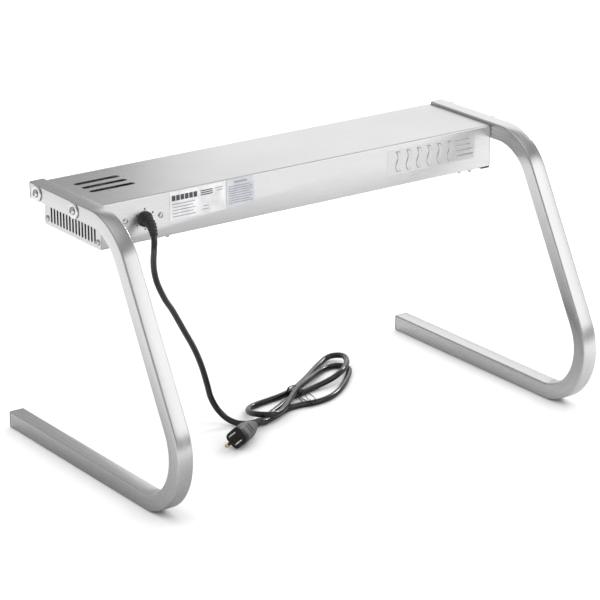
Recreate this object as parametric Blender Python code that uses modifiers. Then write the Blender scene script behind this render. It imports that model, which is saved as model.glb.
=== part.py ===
"""Strip heat lamp warmer: a stainless lamp housing carried by two bent square-tube legs.

X runs along the lamp, +Y is the side with the cord, +Z is up and z = 0 is the counter.
Sizes are written in millimetres and turned into metres by MM or mm(). The pieces are laid
out about the middle of the lamp housing, and an empty shifts them all, so that the origin
is under the middle of the whole frame.
"""

import math

import bmesh
import bpy
from mathutils import Matrix, Vector

MM = 0.001
GAP = 0.3  # between touching pieces

# Lamp housing
BODY_LENGTH = 608.4
BODY_WIDTH = 135.0
BODY_HEIGHT = 57.0
BODY_TOP = 352.4
SHEET = 1.2
LIP = 21.0  # turned-in lower edges of the long walls

# Leg tube
TUBE = 22.2
TUBE_WALL = 1.5
LEG_TOP = 355.9
LEG_SLOPE = math.radians(61.35)
BEND_RADIUS = 74.0  # to the tube's centreline
UPPER_CORNER_Y = 125.9  # where the centrelines of the upper arm and the slope would meet
UPPER_END_Y = -62.0
LOWER_END_Y = -140.0
CAP_FLANGE = 2.0

# Fastenings of the legs
BOLT_Y = (-45.0, 44.0)
BOLT_SHANK = 6.35
BOLT_HEAD = 10.5
WASHER_OUTER = 21.5
WASHER_THICK = 1.7
BOLT_HOLE = BOLT_SHANK + 2 * GAP

# Inside the housing
BULKHEAD_X = (212.6, -266.5)  # control-bay side, far side
ELEMENT_DIAMETER = 8.5
ELEMENT_Z = 318.0
REFLECTOR_SHEET = 0.8

# Cord outlet and cord
GLAND = (239.8, 323.8)  # x and z of the outlet in the back wall
GLAND_HOLE = 16.6
CORD_DIAMETER = 8.0
# The lead from the outlet down to the counter and up to the tied bundle, x, y, z.
CORD_ROUTE = [
    (240.3, 79.4, 321.6),
    (241.6, 88.0, 315.5),
    (243.9, 94.6, 305.5),
    (246.4, 97.4, 293.0),
    (247.2, 96.6, 278.0),
    (244.6, 94.2, 262.0),
    (237.4, 89.6, 244.0),
    (222.0, 81.0, 219.0),
    (204.8, 70.8, 197.6),
    (178.0, 55.4, 159.4),
    (155.3, 41.9, 127.0),
    (137.0, 30.2, 95.0),
    (122.9, 20.4, 64.0),
    (113.2, 13.2, 42.0),
    (102.4, 11.8, 22.6),
    (93.2, 19.0, 10.0),
    (85.6, 29.4, 5.0),
    (77.8, 37.3, 4.15),
    (69.5, 41.3, 4.15),
]
# Outer edge of the tied bundle, seen from above.
BUNDLE_OUTLINE = [
    (66.1, 35.1), (71.3, 46.4), (61.4, 61.2), (40, 61), (24, 55), (4, 40), (-14, 34), (-36, 36),
    (-56, 36), (-76, 30), (-94, 18),
    (-120, -5), (-142, -26), (-160, -48), (-172, -72), (-173, -90), (-165, -98), (-150, -96),
    (-120, -83), (-84, -58), (-56, -38), (-36, -30), (-18, -26), (4, -21), (34, -13), (50, -5),
    (61, 12),
]
BUNDLE_Z = (1.2, 19.6)
TIE_X = (-34.5, -31.5)
TIE_Y = (-31.5, 37.5)

# Plug: the middle of its front face, its turn about Z, its tilt and its roll
PLUG_FACE = (130.0, 97.8, 16.4)
PLUG_YAW = math.radians(33.6)
PLUG_TILT = math.radians(4.4)
PLUG_ROLL = math.radians(-45.0)
PLUG_BODY = 58.0
PLUG_NECK_END = 77.0
BLADE_SPACING = 12.7
BLADE = (17.5, 1.5, 6.35)
GROUND_PIN = (21.4, 4.8)
GROUND_BELOW = 11.9
BLADES_ABOVE = 4.0

# Rocker switch in the front wall
SWITCH = (258.0, 324.0)  # x and z of its middle
SWITCH_CUTOUT = (19.0, 27.0)
ROCKER_TILT = math.radians(12.0)

HALF_LENGTH = BODY_LENGTH / 2
HALF_WIDTH = BODY_WIDTH / 2
BODY_BOTTOM = BODY_TOP - BODY_HEIGHT
LEG_X = HALF_LENGTH + GAP + TUBE / 2
BOLT_Z = LEG_TOP - TUBE / 2


def mm(*numbers):
    """Millimetres to a vector in metres."""
    return Vector(numbers) * MM


def new_collection(name):
    collection = bpy.data.collections.new(name)
    bpy.context.scene.collection.children.link(collection)
    return collection


def material(name, colour, roughness, metallic=0.0):
    made = bpy.data.materials.new(name)
    made.use_nodes = True
    shader = made.node_tree.nodes["Principled BSDF"]
    shader.inputs["Base Color"].default_value = (*colour, 1.0)
    shader.inputs["Roughness"].default_value = roughness
    shader.inputs["Metallic"].default_value = metallic
    return made


for old in list(bpy.data.objects):
    bpy.data.objects.remove(old)

PARTS = new_collection("strip_heat_lamp_warmer")
CUTTERS = new_collection("cutters")

STEEL = material("brushed_stainless", (0.62, 0.62, 0.61), 0.32, 1.0)
BRIGHT = material("polished_reflector", (0.82, 0.82, 0.83), 0.12, 1.0)
ZINC = material("zinc_plated_screw", (0.60, 0.60, 0.58), 0.30, 1.0)
SHEATH = material("element_sheath", (0.16, 0.15, 0.14), 0.45, 1.0)
CERAMIC = material("ceramic", (0.86, 0.83, 0.76), 0.60)
FIBRE = material("insulating_fibre", (0.88, 0.87, 0.83), 0.95)
BLACK = material("black_plastic", (0.02, 0.02, 0.02), 0.40)
GREY = material("plug_grey", (0.13, 0.13, 0.14), 0.45)
JACKET = material("cord_jacket", (0.012, 0.012, 0.012), 0.25)
BRASS = material("plated_brass", (0.72, 0.63, 0.42), 0.25, 1.0)
ORANGE = material("orange_lead", (0.75, 0.13, 0.02), 0.40)
WHITE_LEAD = material("white_lead", (0.80, 0.80, 0.78), 0.40)
GREEN = material("green_lead", (0.02, 0.30, 0.06), 0.40)
LABEL = material("label_film", (0.85, 0.85, 0.86), 0.45)


# ---- makers -------------------------------------------------------------------------------


def place(name, data, finish, where=None, collection=None):
    """Make an object from a mesh or a curve, with its finish, under the frame's empty."""
    made = bpy.data.objects.new(name, data)
    (collection or PARTS).objects.link(made)
    made.parent = ORIGIN
    made.matrix_local = where or Matrix.Identity(4)
    if finish:
        data.materials.append(finish)
    if collection is CUTTERS:
        made.hide_render = True
        made.display_type = "WIRE"
    return made


def smooth(obj, degrees=35.0):
    obj.data.shade_smooth()
    obj.data.set_sharp_from_angle(angle=math.radians(degrees))
    return obj


def mesh_from(name, fill):
    """A mesh made by a function that fills a bmesh."""
    data = bpy.data.meshes.new(name)
    work = bmesh.new()
    fill(work)
    work.to_mesh(data)
    work.free()
    return data


def box(name, low, high, finish=None, bevel=0.0, where=None, collection=None):
    """A block between two corners, in millimetres."""
    low, high = mm(*low), mm(*high)
    middle = Matrix.Translation((low + high) / 2)
    size = Matrix.Diagonal((*(high - low), 1.0))

    def fill(work):
        bmesh.ops.create_cube(work, size=1.0, matrix=middle @ size)

    made = place(name, mesh_from(name, fill), finish, where, collection)
    if bevel:
        edge = made.modifiers.new("rounded edges", "BEVEL")
        edge.width = bevel * MM
        edge.segments = 2
        edge.limit_method = "ANGLE"
    return made


def along(axis, start):
    """A matrix that turns local Z to an axis and moves the origin to a start, in millimetres."""
    turn = Vector((0, 0, 1)).rotation_difference(Vector(axis)).to_matrix().to_4x4()
    return Matrix.Translation(mm(*start)) @ turn


def cylinder(name, start, axis, diameter, length, finish=None, sides=16, collection=None):
    """A round bar from a start along an axis."""

    def fill(work):
        bmesh.ops.create_cone(
            work, cap_ends=True, segments=sides, depth=length * MM,
            radius1=diameter / 2 * MM, radius2=diameter / 2 * MM,
            matrix=Matrix.Translation((0, 0, length / 2 * MM)),
        )

    return place(name, mesh_from(name, fill), finish, along(axis, start), collection)


def turned(name, profile, where, finish=None, sides=20, closed=False, collection=None):
    """A turned piece: radius and height pairs, top to bottom down the outside, spun about Z."""
    points = [mm(radius, 0, height) for radius, height in profile]

    def fill(work):
        corners = [work.verts.new(point) for point in points]
        for first, second in zip(corners, corners[1:]):
            work.edges.new((first, second))
        if closed:
            work.edges.new((corners[-1], corners[0]))

    made = place(name, mesh_from(name, fill), finish, where, collection)
    spin = made.modifiers.new("turned", "SCREW")
    spin.steps = spin.render_steps = sides
    spin.use_merge_vertices = True
    spin.merge_threshold = 0.00001
    spin.use_smooth_shade = False
    return made


def section_matrix(x=0.0):
    """Puts a drawing in the YZ plane: its X becomes Y, its Y becomes Z and its Z becomes X."""
    turn = Matrix(((0, 0, 1, 0), (1, 0, 0, 0), (0, 1, 0, 0), (0, 0, 0, 1)))
    return Matrix.Translation((x * MM, 0, 0)) @ turn


def plan_matrix(z=0.0):
    return Matrix.Translation((0, 0, z * MM))


def to_mesh(curve_object):
    """Replace a curve object by its welded mesh, so that it can be cut or thickened."""
    bpy.context.view_layer.update()
    seen = curve_object.evaluated_get(bpy.context.evaluated_depsgraph_get())
    data = bpy.data.meshes.new_from_object(seen)
    work = bmesh.new()
    work.from_mesh(data)
    bmesh.ops.remove_doubles(work, verts=work.verts, dist=0.00001)
    bmesh.ops.recalc_face_normals(work, faces=work.faces)
    work.to_mesh(data)
    work.free()
    name, local = curve_object.name, curve_object.matrix_local.copy()
    finish = curve_object.data.materials[0] if curve_object.data.materials else None
    collection = CUTTERS if curve_object.hide_render else PARTS
    bpy.data.objects.remove(curve_object)
    data.materials.clear()
    return place(name, data, finish, local, collection)


def spline(curve, points, cyclic=False):
    line = curve.splines.new("POLY")
    line.points.add(len(points) - 1)
    for corner, point in zip(line.points, points):
        corner.co = (*mm(*point), 1.0)
    line.use_cyclic_u = cyclic


def flat(name, outlines, thickness, finish=None, where=None, collection=None):
    """A flat piece with holes: closed outlines filled and given a thickness, on its mid plane."""
    drawing = bpy.data.curves.new(name, "CURVE")
    drawing.dimensions = "2D"
    drawing.fill_mode = "BOTH"
    drawing.extrude = thickness / 2 * MM
    for outline in outlines:
        spline(drawing, [(*corner, 0.0) for corner in outline], cyclic=True)
    return to_mesh(place(name, drawing, finish, where, collection))


def ribbon(name, section, x_from, x_to, wall, finish):
    """Bent sheet: an open section in the YZ plane drawn out along X, wall inside the line."""
    drawing = bpy.data.curves.new(name, "CURVE")
    drawing.dimensions = "2D"
    drawing.fill_mode = "NONE"
    drawing.extrude = (x_to - x_from) / 2 * MM
    spline(drawing, [(*corner, 0.0) for corner in section])
    made = to_mesh(place(name, drawing, finish, section_matrix((x_from + x_to) / 2)))
    sheet = made.modifiers.new("sheet", "SOLIDIFY")
    sheet.thickness = wall * MM
    sheet.offset = ribbon_side(made)
    sheet.use_even_offset = True
    return made


def ribbon_side(made):
    """-1 when the faces already point away from the section's inside, else 1."""
    middle = sum((corner.co for corner in made.data.vertices), Vector()) / len(made.data.vertices)
    outward = sum((face.center - middle).dot(face.normal) * face.area for face in made.data.polygons)
    return -1.0 if outward > 0 else 1.0


def tube(name, points, diameter, finish, resolution=2):
    """A round wire or cord along points."""
    curve = bpy.data.curves.new(name, "CURVE")
    curve.dimensions = "3D"
    curve.bevel_depth = diameter / 2 * MM
    curve.bevel_resolution = resolution
    curve.use_fill_caps = True
    spline(curve, points)
    return place(name, curve, finish)


def boolean(obj, tool, how):
    made = obj.modifiers.new(how.lower(), "BOOLEAN")
    made.operation = how
    made.object = tool
    made.solver = "EXACT"
    return obj


def cut(obj, *tools):
    for tool in tools:
        boolean(obj, tool, "DIFFERENCE")
    return obj


def join(obj, *tools):
    for tool in tools:
        boolean(obj, tool, "UNION")
    return obj


def rounded(low, high, radius, steps=3):
    """A rectangle's outline with round corners, given by two corners."""
    (x0, y0), (x1, y1) = low, high
    corners = ((x1 - radius, y1 - radius), (x0 + radius, y1 - radius),
               (x0 + radius, y0 + radius), (x1 - radius, y0 + radius))
    outline = []
    for quarter, (x, y) in enumerate(corners):
        for step in range(steps + 1):
            angle = math.pi / 2 * (quarter + step / steps)
            outline.append((x + radius * math.cos(angle), y + radius * math.sin(angle)))
    return outline


def circle(x, y, diameter, sides=12):
    turn = [2 * math.pi * step / sides for step in range(sides)]
    return [(x + diameter / 2 * math.cos(a), y + diameter / 2 * math.sin(a)) for a in turn]


def filleted(corners, radius, steps):
    """An open line with its inner corners rounded."""
    line = [Vector(corners[0])]
    for before, corner, after in zip(corners, corners[1:], corners[2:]):
        before, corner, after = Vector(before), Vector(corner), Vector(after)
        into, out = (corner - before).normalized(), (after - corner).normalized()
        turning = into.angle(out)
        reach = radius * math.tan(turning / 2)
        inward = (out - into).normalized()
        centre = corner + inward * radius / math.cos(turning / 2)
        start = corner - into * reach
        sign = 1.0 if into.x * out.y - into.y * out.x > 0 else -1.0
        for step in range(steps + 1):
            swing = Matrix.Rotation(sign * turning * step / steps, 2)
            line.append(centre + swing @ (start - centre))
    line.append(Vector(corners[-1]))
    return [tuple(point) for point in line]


def through(points, spacing):
    """Points at an even spacing along a smooth curve through hand-placed points."""
    ends = [2 * Vector(points[0]) - Vector(points[1])]
    ends += [Vector(point) for point in points]
    ends += [2 * Vector(points[-1]) - Vector(points[-2])]
    fine = [ends[1]]
    for a, b, c, d in zip(ends, ends[1:], ends[2:], ends[3:]):
        for step in range(1, 25):
            t = step / 24
            fine.append(0.5 * (2 * b + (c - a) * t + (2 * a - 5 * b + 4 * c - d) * t**2
                               + (3 * b - a - 3 * c + d) * t**3))
    length = sum((q - p).length for p, q in zip(fine, fine[1:]))
    count = max(2, round(length / spacing))
    line, walked, wanted = [fine[0]], 0.0, length / count
    for p, q in zip(fine, fine[1:]):
        step = (q - p).length
        while walked + step >= wanted and len(line) < count:
            line.append(p.lerp(q, (wanted - walked) / step))
            wanted += length / count
        walked += step
    line.append(fine[-1])
    return [tuple(point) for point in line]


# ---- legs ---------------------------------------------------------------------------------


def leg_path():
    """The tube's centreline in the YZ plane, from the upper arm's end to the lower arm's."""
    top, bottom = LEG_TOP - TUBE / 2, TUBE / 2
    lower_corner_y = UPPER_CORNER_Y + (top - bottom) / math.tan(LEG_SLOPE)
    corners = [(UPPER_END_Y, top), (UPPER_CORNER_Y, top), (lower_corner_y, bottom),
               (LOWER_END_Y, bottom)]
    return filleted(corners, BEND_RADIUS, 9)


def frame_depth():
    """The y of the frame's back-most and front-most points, about the lamp's middle."""
    path = [Vector(point) for point in leg_path()]
    back = -math.inf
    for before, point, after in zip(path, path[1:], path[2:]):
        one, other = (point - before).normalized(), (after - point).normalized()
        way = (one + other).normalized()
        reach = TUBE / 2 / way.dot(one)
        back = max(back, point.x - way.y * reach, point.x + way.y * reach)
    return back, LOWER_END_Y - CAP_FLANGE - GAP


BACK_Y, FRONT_Y = frame_depth()
ORIGIN = bpy.data.objects.new("frame_origin", None)
ORIGIN.location = mm(0, -(BACK_Y + FRONT_Y) / 2, 0)
CUTTERS.objects.link(ORIGIN)


def leg(name, x):
    """A square tube bent to a C, open at both ends and drilled for its two bolts."""
    half = TUBE / 2
    profile = bpy.data.curves.new(name + "_profile", "CURVE")
    profile.dimensions = "2D"
    spline(profile, [(*p, 0) for p in rounded((-half, -half), (half, half), 2.2, 2)], cyclic=True)
    section = place(name + "_section", profile, None, collection=CUTTERS)
    curve = bpy.data.curves.new(name, "CURVE")
    curve.dimensions = "3D"
    curve.twist_mode = "MINIMUM"
    curve.bevel_mode = "OBJECT"
    curve.bevel_object = section
    spline(curve, [(0.0, y, z) for y, z in leg_path()])
    made = to_mesh(place(name, curve, STEEL, Matrix.Translation(mm(x, 0, 0))))
    bpy.data.objects.remove(section)
    sheet = made.modifiers.new("tube wall", "SOLIDIFY")
    sheet.thickness = TUBE_WALL * MM
    sheet.offset = -1.0
    for number, y in enumerate(BOLT_Y):
        hole = cylinder(f"{name}_hole_{number}", (x - TUBE, y, BOLT_Z), (1, 0, 0),
                        BOLT_HOLE, 2 * TUBE, sides=12, collection=CUTTERS)
        cut(made, hole)
    return smooth(made)


def end_cap(name, x, y_end, z, outward):
    """A plastic plug in a tube's end: a flange outside and a square foot inside."""
    half, inner = TUBE / 2, TUBE / 2 - TUBE_WALL - GAP
    near, far = y_end + outward * GAP, y_end + outward * (GAP + CAP_FLANGE)
    inside = y_end - outward * 12.0
    flange = box(name, (x - half, min(near, far), z - half), (x + half, max(near, far), z + half),
                 BLACK, bevel=0.8)
    reach = y_end + outward * (GAP + CAP_FLANGE / 2)
    foot = box(name + "_foot", (x - inner, min(inside, reach), z - inner),
               (x + inner, max(inside, reach), z + inner), collection=CUTTERS)
    return join(flange, foot)


def leg_fastenings(side, x_sign):
    """Two washers, bolts and nuts that hold a leg to its end plate."""
    outer = x_sign * (LEG_X + TUBE / 2 + GAP)
    head = outer + x_sign * (WASHER_THICK + GAP)
    way = (x_sign, 0, 0)
    nut = x_sign * (HALF_LENGTH - SHEET - GAP)
    for number, y in enumerate(BOLT_Y):
        tag = f"{side}_{number + 1}"
        hole = BOLT_HOLE / 2
        dish = [(hole, WASHER_THICK), (WASHER_OUTER / 2 - 1.2, WASHER_THICK),
                (WASHER_OUTER / 2, 0.5), (WASHER_OUTER / 2, 0.0), (hole, 0.0)]
        smooth(turned(f"leg_washer_{tag}", dish, along(way, (outer, y, BOLT_Z)), ZINC, 20, True))
        shank = abs(head - nut) + 6.0
        dome = [(0.0, 3.2), (2.6, 3.0), (BOLT_HEAD / 2 - 0.9, 2.2), (BOLT_HEAD / 2, 0.9),
                (BOLT_HEAD / 2, 0.0), (BOLT_SHANK / 2, 0.0), (BOLT_SHANK / 2, -shank),
                (0.0, -shank)]
        smooth(turned(f"leg_bolt_{tag}", dome, along(way, (head, y, BOLT_Z)), ZINC, 16))
        six = [(math.cos(math.radians(60 * k)) * 5.8, math.sin(math.radians(60 * k)) * 5.8)
               for k in range(6)]
        flat(f"leg_nut_{tag}", [six, circle(0, 0, BOLT_HOLE)], 4.0, ZINC,
             Matrix.Translation(mm(nut - x_sign * 2.0, y, BOLT_Z)) @ section_matrix())


def legs():
    for side, x_sign in (("left", 1), ("right", -1)):
        x = x_sign * LEG_X
        leg(f"leg_{side}", x)
        end_cap(f"cap_upper_{side}", x, UPPER_END_Y, LEG_TOP - TUBE / 2, -1)
        end_cap(f"cap_lower_{side}", x, LOWER_END_Y, TUBE / 2, -1)
        leg_fastenings(side, x_sign)


# ---- housing ------------------------------------------------------------------------------


def pan_screw(name, where, head, shank, length, tall=2.2):
    """A pan-head screw whose head stands on the local XY plane and whose shank goes down."""
    outline = [(0.0, tall), (head * 0.32, tall * 0.92), (head / 2, tall * 0.35), (head / 2, 0.0),
               (shank / 2, 0.0), (shank / 2, -length), (0.0, -length)]
    return smooth(turned(name, outline, where, ZINC, 12))


TAB_Z = 304.0
TAB_Y = 61.0
SCREW_SHANK = 3.5
SCREW_HOLE = SCREW_SHANK + 2 * GAP
BACK_SCREWS = ((268.0, 326.0), (216.6, 324.5))
EDGE_SCREW_X = (221.4, 203.8, -257.6, -275.3)
EDGE_SCREW_Y = 60.5
TOP_SLOT_Y = (-27.3, -8.6, 9.9)
TOP_SLOT_X = (218.0, 283.5)
TOP_SLOT_WIDTH = 8.5


def housing():
    """The long cover: top and two walls folded from one sheet, with turned-in lower lips."""
    low, high, half = BODY_BOTTOM, BODY_TOP, HALF_WIDTH
    section = [(-half + LIP, low), (-half, low), (-half, high), (half, high), (half, low),
               (half - LIP, low)]
    reach = HALF_LENGTH - SHEET - GAP
    shell = ribbon("housing_shell", filleted(section, 1.8, 2), -reach, reach, SHEET, STEEL)
    for x_sign in (1, -1):
        for y_sign in (1, -1):
            near, far = x_sign * (reach - 0.01), x_sign * (reach - SHEET)
            tab = box("tab", (min(near, far), y_sign * 54 if y_sign > 0 else -half + 0.4, TAB_Z - 5),
                      (max(near, far), half - 0.4 if y_sign > 0 else -54, TAB_Z + 5),
                      collection=CUTTERS)
            join(shell, tab)
            cut(shell, cylinder("tab_hole", (x_sign * (reach - 4), y_sign * TAB_Y, TAB_Z),
                                (x_sign, 0, 0), SCREW_HOLE, 8, sides=8, collection=CUTTERS))
    slot_low, slot_high = TOP_SLOT_X
    for y in TOP_SLOT_Y:
        outline = rounded((slot_low, y - TOP_SLOT_WIDTH / 2), (slot_high, y + TOP_SLOT_WIDTH / 2),
                          TOP_SLOT_WIDTH / 2 - 0.01, 3)
        cut(shell, flat("top_slot", [outline], 6, where=plan_matrix(high), collection=CUTTERS))
    for x in EDGE_SCREW_X:
        cut(shell, cylinder("edge_hole", (x, EDGE_SCREW_Y, low - 3), (0, 0, 1), SCREW_HOLE, 6,
                            sides=8, collection=CUTTERS))
    back = (0, 1, 0)
    x, z = GLAND
    cut(shell, cylinder("outlet", (x, half - 4, z), back, GLAND_HOLE, 8, sides=20,
                        collection=CUTTERS))
    for turn in range(6):
        angle = math.radians(90 + 60 * turn)
        cut(shell, cylinder("mark", (x + 13 * math.cos(angle), half - 4, z + 13 * math.sin(angle)),
                            back, 2.7, 8, sides=8, collection=CUTTERS))
    for x, z in BACK_SCREWS:
        cut(shell, cylinder("screw_hole", (x, half - 4, z), back, SCREW_HOLE, 8, sides=10,
                            collection=CUTTERS))
    x, z = SWITCH
    wide, tall = SWITCH_CUTOUT
    cut(shell, box("switch_cutout", (x - wide / 2, -half - 4, z - tall / 2),
                   (x + wide / 2, -half + 4, z + tall / 2), collection=CUTTERS))
    return smooth(shell)


def end_plate(name, x_sign, slots):
    """A flat end cover, drilled for the leg's bolts and its own two screws."""
    outlines = [rounded((-HALF_WIDTH, BODY_BOTTOM), (HALF_WIDTH, BODY_TOP), 1.8, 2)]
    outlines += [circle(y, BOLT_Z, BOLT_HOLE) for y in BOLT_Y]
    outlines += [circle(y, TAB_Z, SCREW_HOLE, 8) for y in (-TAB_Y, TAB_Y)]
    pitch = 104.6 / (slots - 1) if slots else 0.0
    for number in range(slots):
        y = -50.3 + pitch * number
        outlines.append(rounded((y - 2.0, 300.5), (y + 2.0, 331.5), 1.99, 2))
    return flat(name, outlines, SHEET, STEEL, section_matrix(x_sign * (HALF_LENGTH - SHEET / 2)))


def end_plates():
    end_plate("end_plate_vented", 1, 15)
    plain = end_plate("end_plate_plain", -1, 0)
    low = BODY_BOTTOM - 2.6
    lip = box("plain_lip", (-HALF_LENGTH, -HALF_WIDTH + 3, low), (-HALF_LENGTH + 14, HALF_WIDTH - 0.6,
              low + 1.2), collection=CUTTERS)
    web = box("plain_web", (-HALF_LENGTH, -HALF_WIDTH + 3, low), (-HALF_LENGTH + SHEET,
              HALF_WIDTH - 0.6, BODY_BOTTOM + 2), collection=CUTTERS)
    join(plain, join(lip, web))
    for side, x_sign in (("vented", 1), ("plain", -1)):
        for number, y in enumerate((-TAB_Y, TAB_Y)):
            where = along((x_sign, 0, 0), (x_sign * (HALF_LENGTH + GAP), y, TAB_Z))
            pan_screw(f"end_screw_{side}_{number + 1}", where, 7.8, SCREW_SHANK, 8.0)


def inner_width_plate(name, x, holes):
    """A cross wall that stands inside the housing above its lips."""
    inside = HALF_WIDTH - SHEET - GAP
    outline = rounded((-inside, BODY_BOTTOM + SHEET + GAP), (inside, BODY_TOP - SHEET - GAP), 1.5, 1)
    return flat(name, [outline, *holes], 1.0, STEEL, section_matrix(x))


def heater():
    """Cross walls, reflector, element with its bushes, guard and insulation."""
    near, far = BULKHEAD_X
    bush_hole = circle(0, ELEMENT_Z, 14.6, 16)
    wire_hole = circle(54, 334, 6.0, 8)
    inner_width_plate("bulkhead_control", near, [bush_hole, wire_hole])
    inner_width_plate("bulkhead_far", far, [bush_hole, wire_hole])
    rest = BODY_BOTTOM + SHEET + GAP + REFLECTOR_SHEET
    section = [(-57.5, rest), (-51.5, rest), (-40.0, 322.0), (-20.0, 336.5), (20.0, 336.5),
               (40.0, 322.0), (51.5, rest), (57.5, rest)]
    ribbon("reflector", filleted(section, 2.5, 2), far + 1.0, near - 1.0, REFLECTOR_SHEET, BRIGHT)
    box("insulation", (far + 1.5, -34.0, 337.4), (near - 1.5, 34.0, 350.4), FIBRE)
    rod = [(0.0, 0.0), (ELEMENT_DIAMETER / 2, 0.0), (ELEMENT_DIAMETER / 2, -(near - far) - 28.0),
           (0.0, -(near - far) - 28.0)]
    smooth(turned("heating_element", rod, along((1, 0, 0), (near + 14.0, 0, ELEMENT_Z)), SHEATH, 16))
    bore = ELEMENT_DIAMETER / 2 + GAP
    collar = [(bore, 4.0), (9.0, 4.0), (9.0, 0.85), (7.0, 0.85), (7.0, -4.0), (bore, -4.0)]
    for side, x, x_sign in (("control", near, 1), ("far", far, -1)):
        where = along((x_sign, 0, 0), (x, 0, ELEMENT_Z))
        smooth(turned(f"element_bush_{side}", collar, where, CERAMIC, 16, True))
    guard()


def guard():
    """The wire guard below the element: two rails joined by cross wires, resting on the lips."""
    far, near = BULKHEAD_X[1] + 4.0, BULKHEAD_X[0] - 4.0
    edge, wire, bays = 48.6, 2.6, 17
    pitch = (near - far - wire) / bays
    windows = []
    for number in range(bays):
        x = far + wire + pitch * number
        windows.append([(x, -edge + wire), (x + pitch - wire, -edge + wire),
                        (x + pitch - wire, edge - wire), (x, edge - wire)])
    outline = [(far, -edge), (near, -edge), (near, edge), (far, edge)]
    z = BODY_BOTTOM + SHEET + GAP + wire / 2
    flat("wire_guard", [outline, *windows], wire, ZINC, plan_matrix(z))


def lower_covers():
    """Flat covers under the control bay and the far bay, and the screws along the back lip."""
    low, high = BODY_BOTTOM - GAP - 1.0, BODY_BOTTOM - GAP
    near, far = BULKHEAD_X
    inset = HALF_WIDTH - 4.0
    for name, x_from, x_to in (("control_bay_cover", near - 1.0, HALF_LENGTH - 4.0),
                               ("far_bay_cover", -HALF_LENGTH + 15.0, far + 1.0)):
        cover = box(name, (x_from, -inset, low), (x_to, inset, high), STEEL)
        for x in EDGE_SCREW_X:
            if x_from < x < x_to:
                cut(cover, cylinder("cover_hole", (x, EDGE_SCREW_Y, low - 2), (0, 0, 1),
                                    SCREW_HOLE, 6, sides=8, collection=CUTTERS))
    for number, x in enumerate(EDGE_SCREW_X):
        under = low - GAP if number in (0, 3) else BODY_BOTTOM - GAP
        where = along((0, 0, -1), (x, EDGE_SCREW_Y, under))
        pan_screw(f"edge_screw_{number + 1}", where, 6.6, SCREW_SHANK, 6.0, tall=4.6 - number % 3 // 2)


# ---- wiring -------------------------------------------------------------------------------


def wiring():
    """Terminal block, leads and earth stud of the control bay, and the return lead."""
    box("terminal_block", (226.0, -26.0, 297.4), (246.0, 18.0, 310.0), CERAMIC, bevel=1.0)
    supply = [(248.4, 52.0, 322.0), (262.0, 55.0, 316.0), (284.0, 56.0, 312.5), (297.0, 52.5, 313.0),
              (296.0, 34.0, 326.0), (285.0, 18.0, 340.0), (274.0, 8.0, 345.0), (262.0, -4.0, 341.0),
              (256.0, -18.0, 333.0), (254.5, -31.0, 327.0), (254.5, -38.6, 324.0)]
    tube("lead_orange", through(supply, 9.0), 3.2, ORANGE)
    element = [(226.9, 4.0, 326.0), (238.0, 2.0, 330.0), (250.0, -14.0, 328.0),
               (261.6, -30.0, 321.0), (261.6, -38.6, 319.0)]
    tube("lead_white", through(element, 9.0), 3.0, WHITE_LEAD)
    back = [(236.0, 22.0, 306.0), (230.0, 42.0, 322.0), (222.0, 54.0, 334.0), (190.0, 54.0, 334.0),
            (-250.0, 54.0, 334.0), (-274.0, 53.0, 333.0), (-286.0, 34.0, 326.0), (-287.0, 12.0, 320.0),
            (-284.0, 6.6, 318.0)]
    tube("lead_return", through(back, 14.0)[:1] + bent_lead(back), 3.0, WHITE_LEAD)
    earth = [(241.0, 52.0, 327.0), (246.0, 44.0, 338.0), (244.0, 33.0, 345.0)]
    tube("lead_earth", through(earth, 7.0), 2.6, GREEN)
    stud = [(0.0, 5.0), (3.0, 5.0), (3.0, 0.0), (0.0, 0.0)]
    turned("earth_stud", stud, along((0, 0, 1), (240.0, 28.0, BODY_TOP - SHEET - GAP - 5.0)), BRASS, 8)


def bent_lead(corners):
    """The return lead: its long straight run needs no points between its ends."""
    first, last = through(corners[:4], 9.0), through(corners[4:], 9.0)
    return first[1:] + last


# ---- switch -------------------------------------------------------------------------------


def rocker_switch():
    """A rocker switch: a framed body in the front wall and a rocker tipped to its off side."""
    x, z = SWITCH
    wide, tall = SWITCH_CUTOUT
    wall = -HALF_WIDTH
    frame = box("switch_body", (x - wide / 2 - 2.2, wall - GAP - 2.0, z - tall / 2 - 2.2),
                (x + wide / 2 + 2.2, wall - GAP, z + tall / 2 + 2.2), BLACK, bevel=0.7)
    inner = box("switch_inner", (x - wide / 2 + GAP, wall - GAP - 1.0, z - tall / 2 + GAP),
                (x + wide / 2 - GAP, wall + 26.0, z + tall / 2 - GAP), collection=CUTTERS)
    well = box("switch_well", (x - wide / 2 + 2.0, wall - 8.0, z - tall / 2 + 2.0),
               (x + wide / 2 - 2.0, wall + 9.0, z + tall / 2 - 2.0), collection=CUTTERS)
    cut(join(frame, inner), well)
    pivot = bpy.data.objects.new("rocker_pivot", None)
    CUTTERS.objects.link(pivot)
    pivot.parent = ORIGIN
    pivot.location = mm(x, wall + 3.0, z)
    pivot.rotation_euler = (ROCKER_TILT, 0, 0)
    half_x, half_z = wide / 2 - 2.6, tall / 2 - 3.3
    face = [(-5.8, half_z), (-4.4, 0.0), (-5.8, -half_z), (-2.0, -half_z), (2.2, -2.6), (2.2, 2.6),
            (-2.0, half_z)]
    rocker = flat("switch_rocker", [face], 2 * half_x, BLACK, section_matrix())
    rocker.parent = pivot
    rocker.matrix_local = section_matrix()


# ---- outlet, cord and plug ----------------------------------------------------------------


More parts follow.
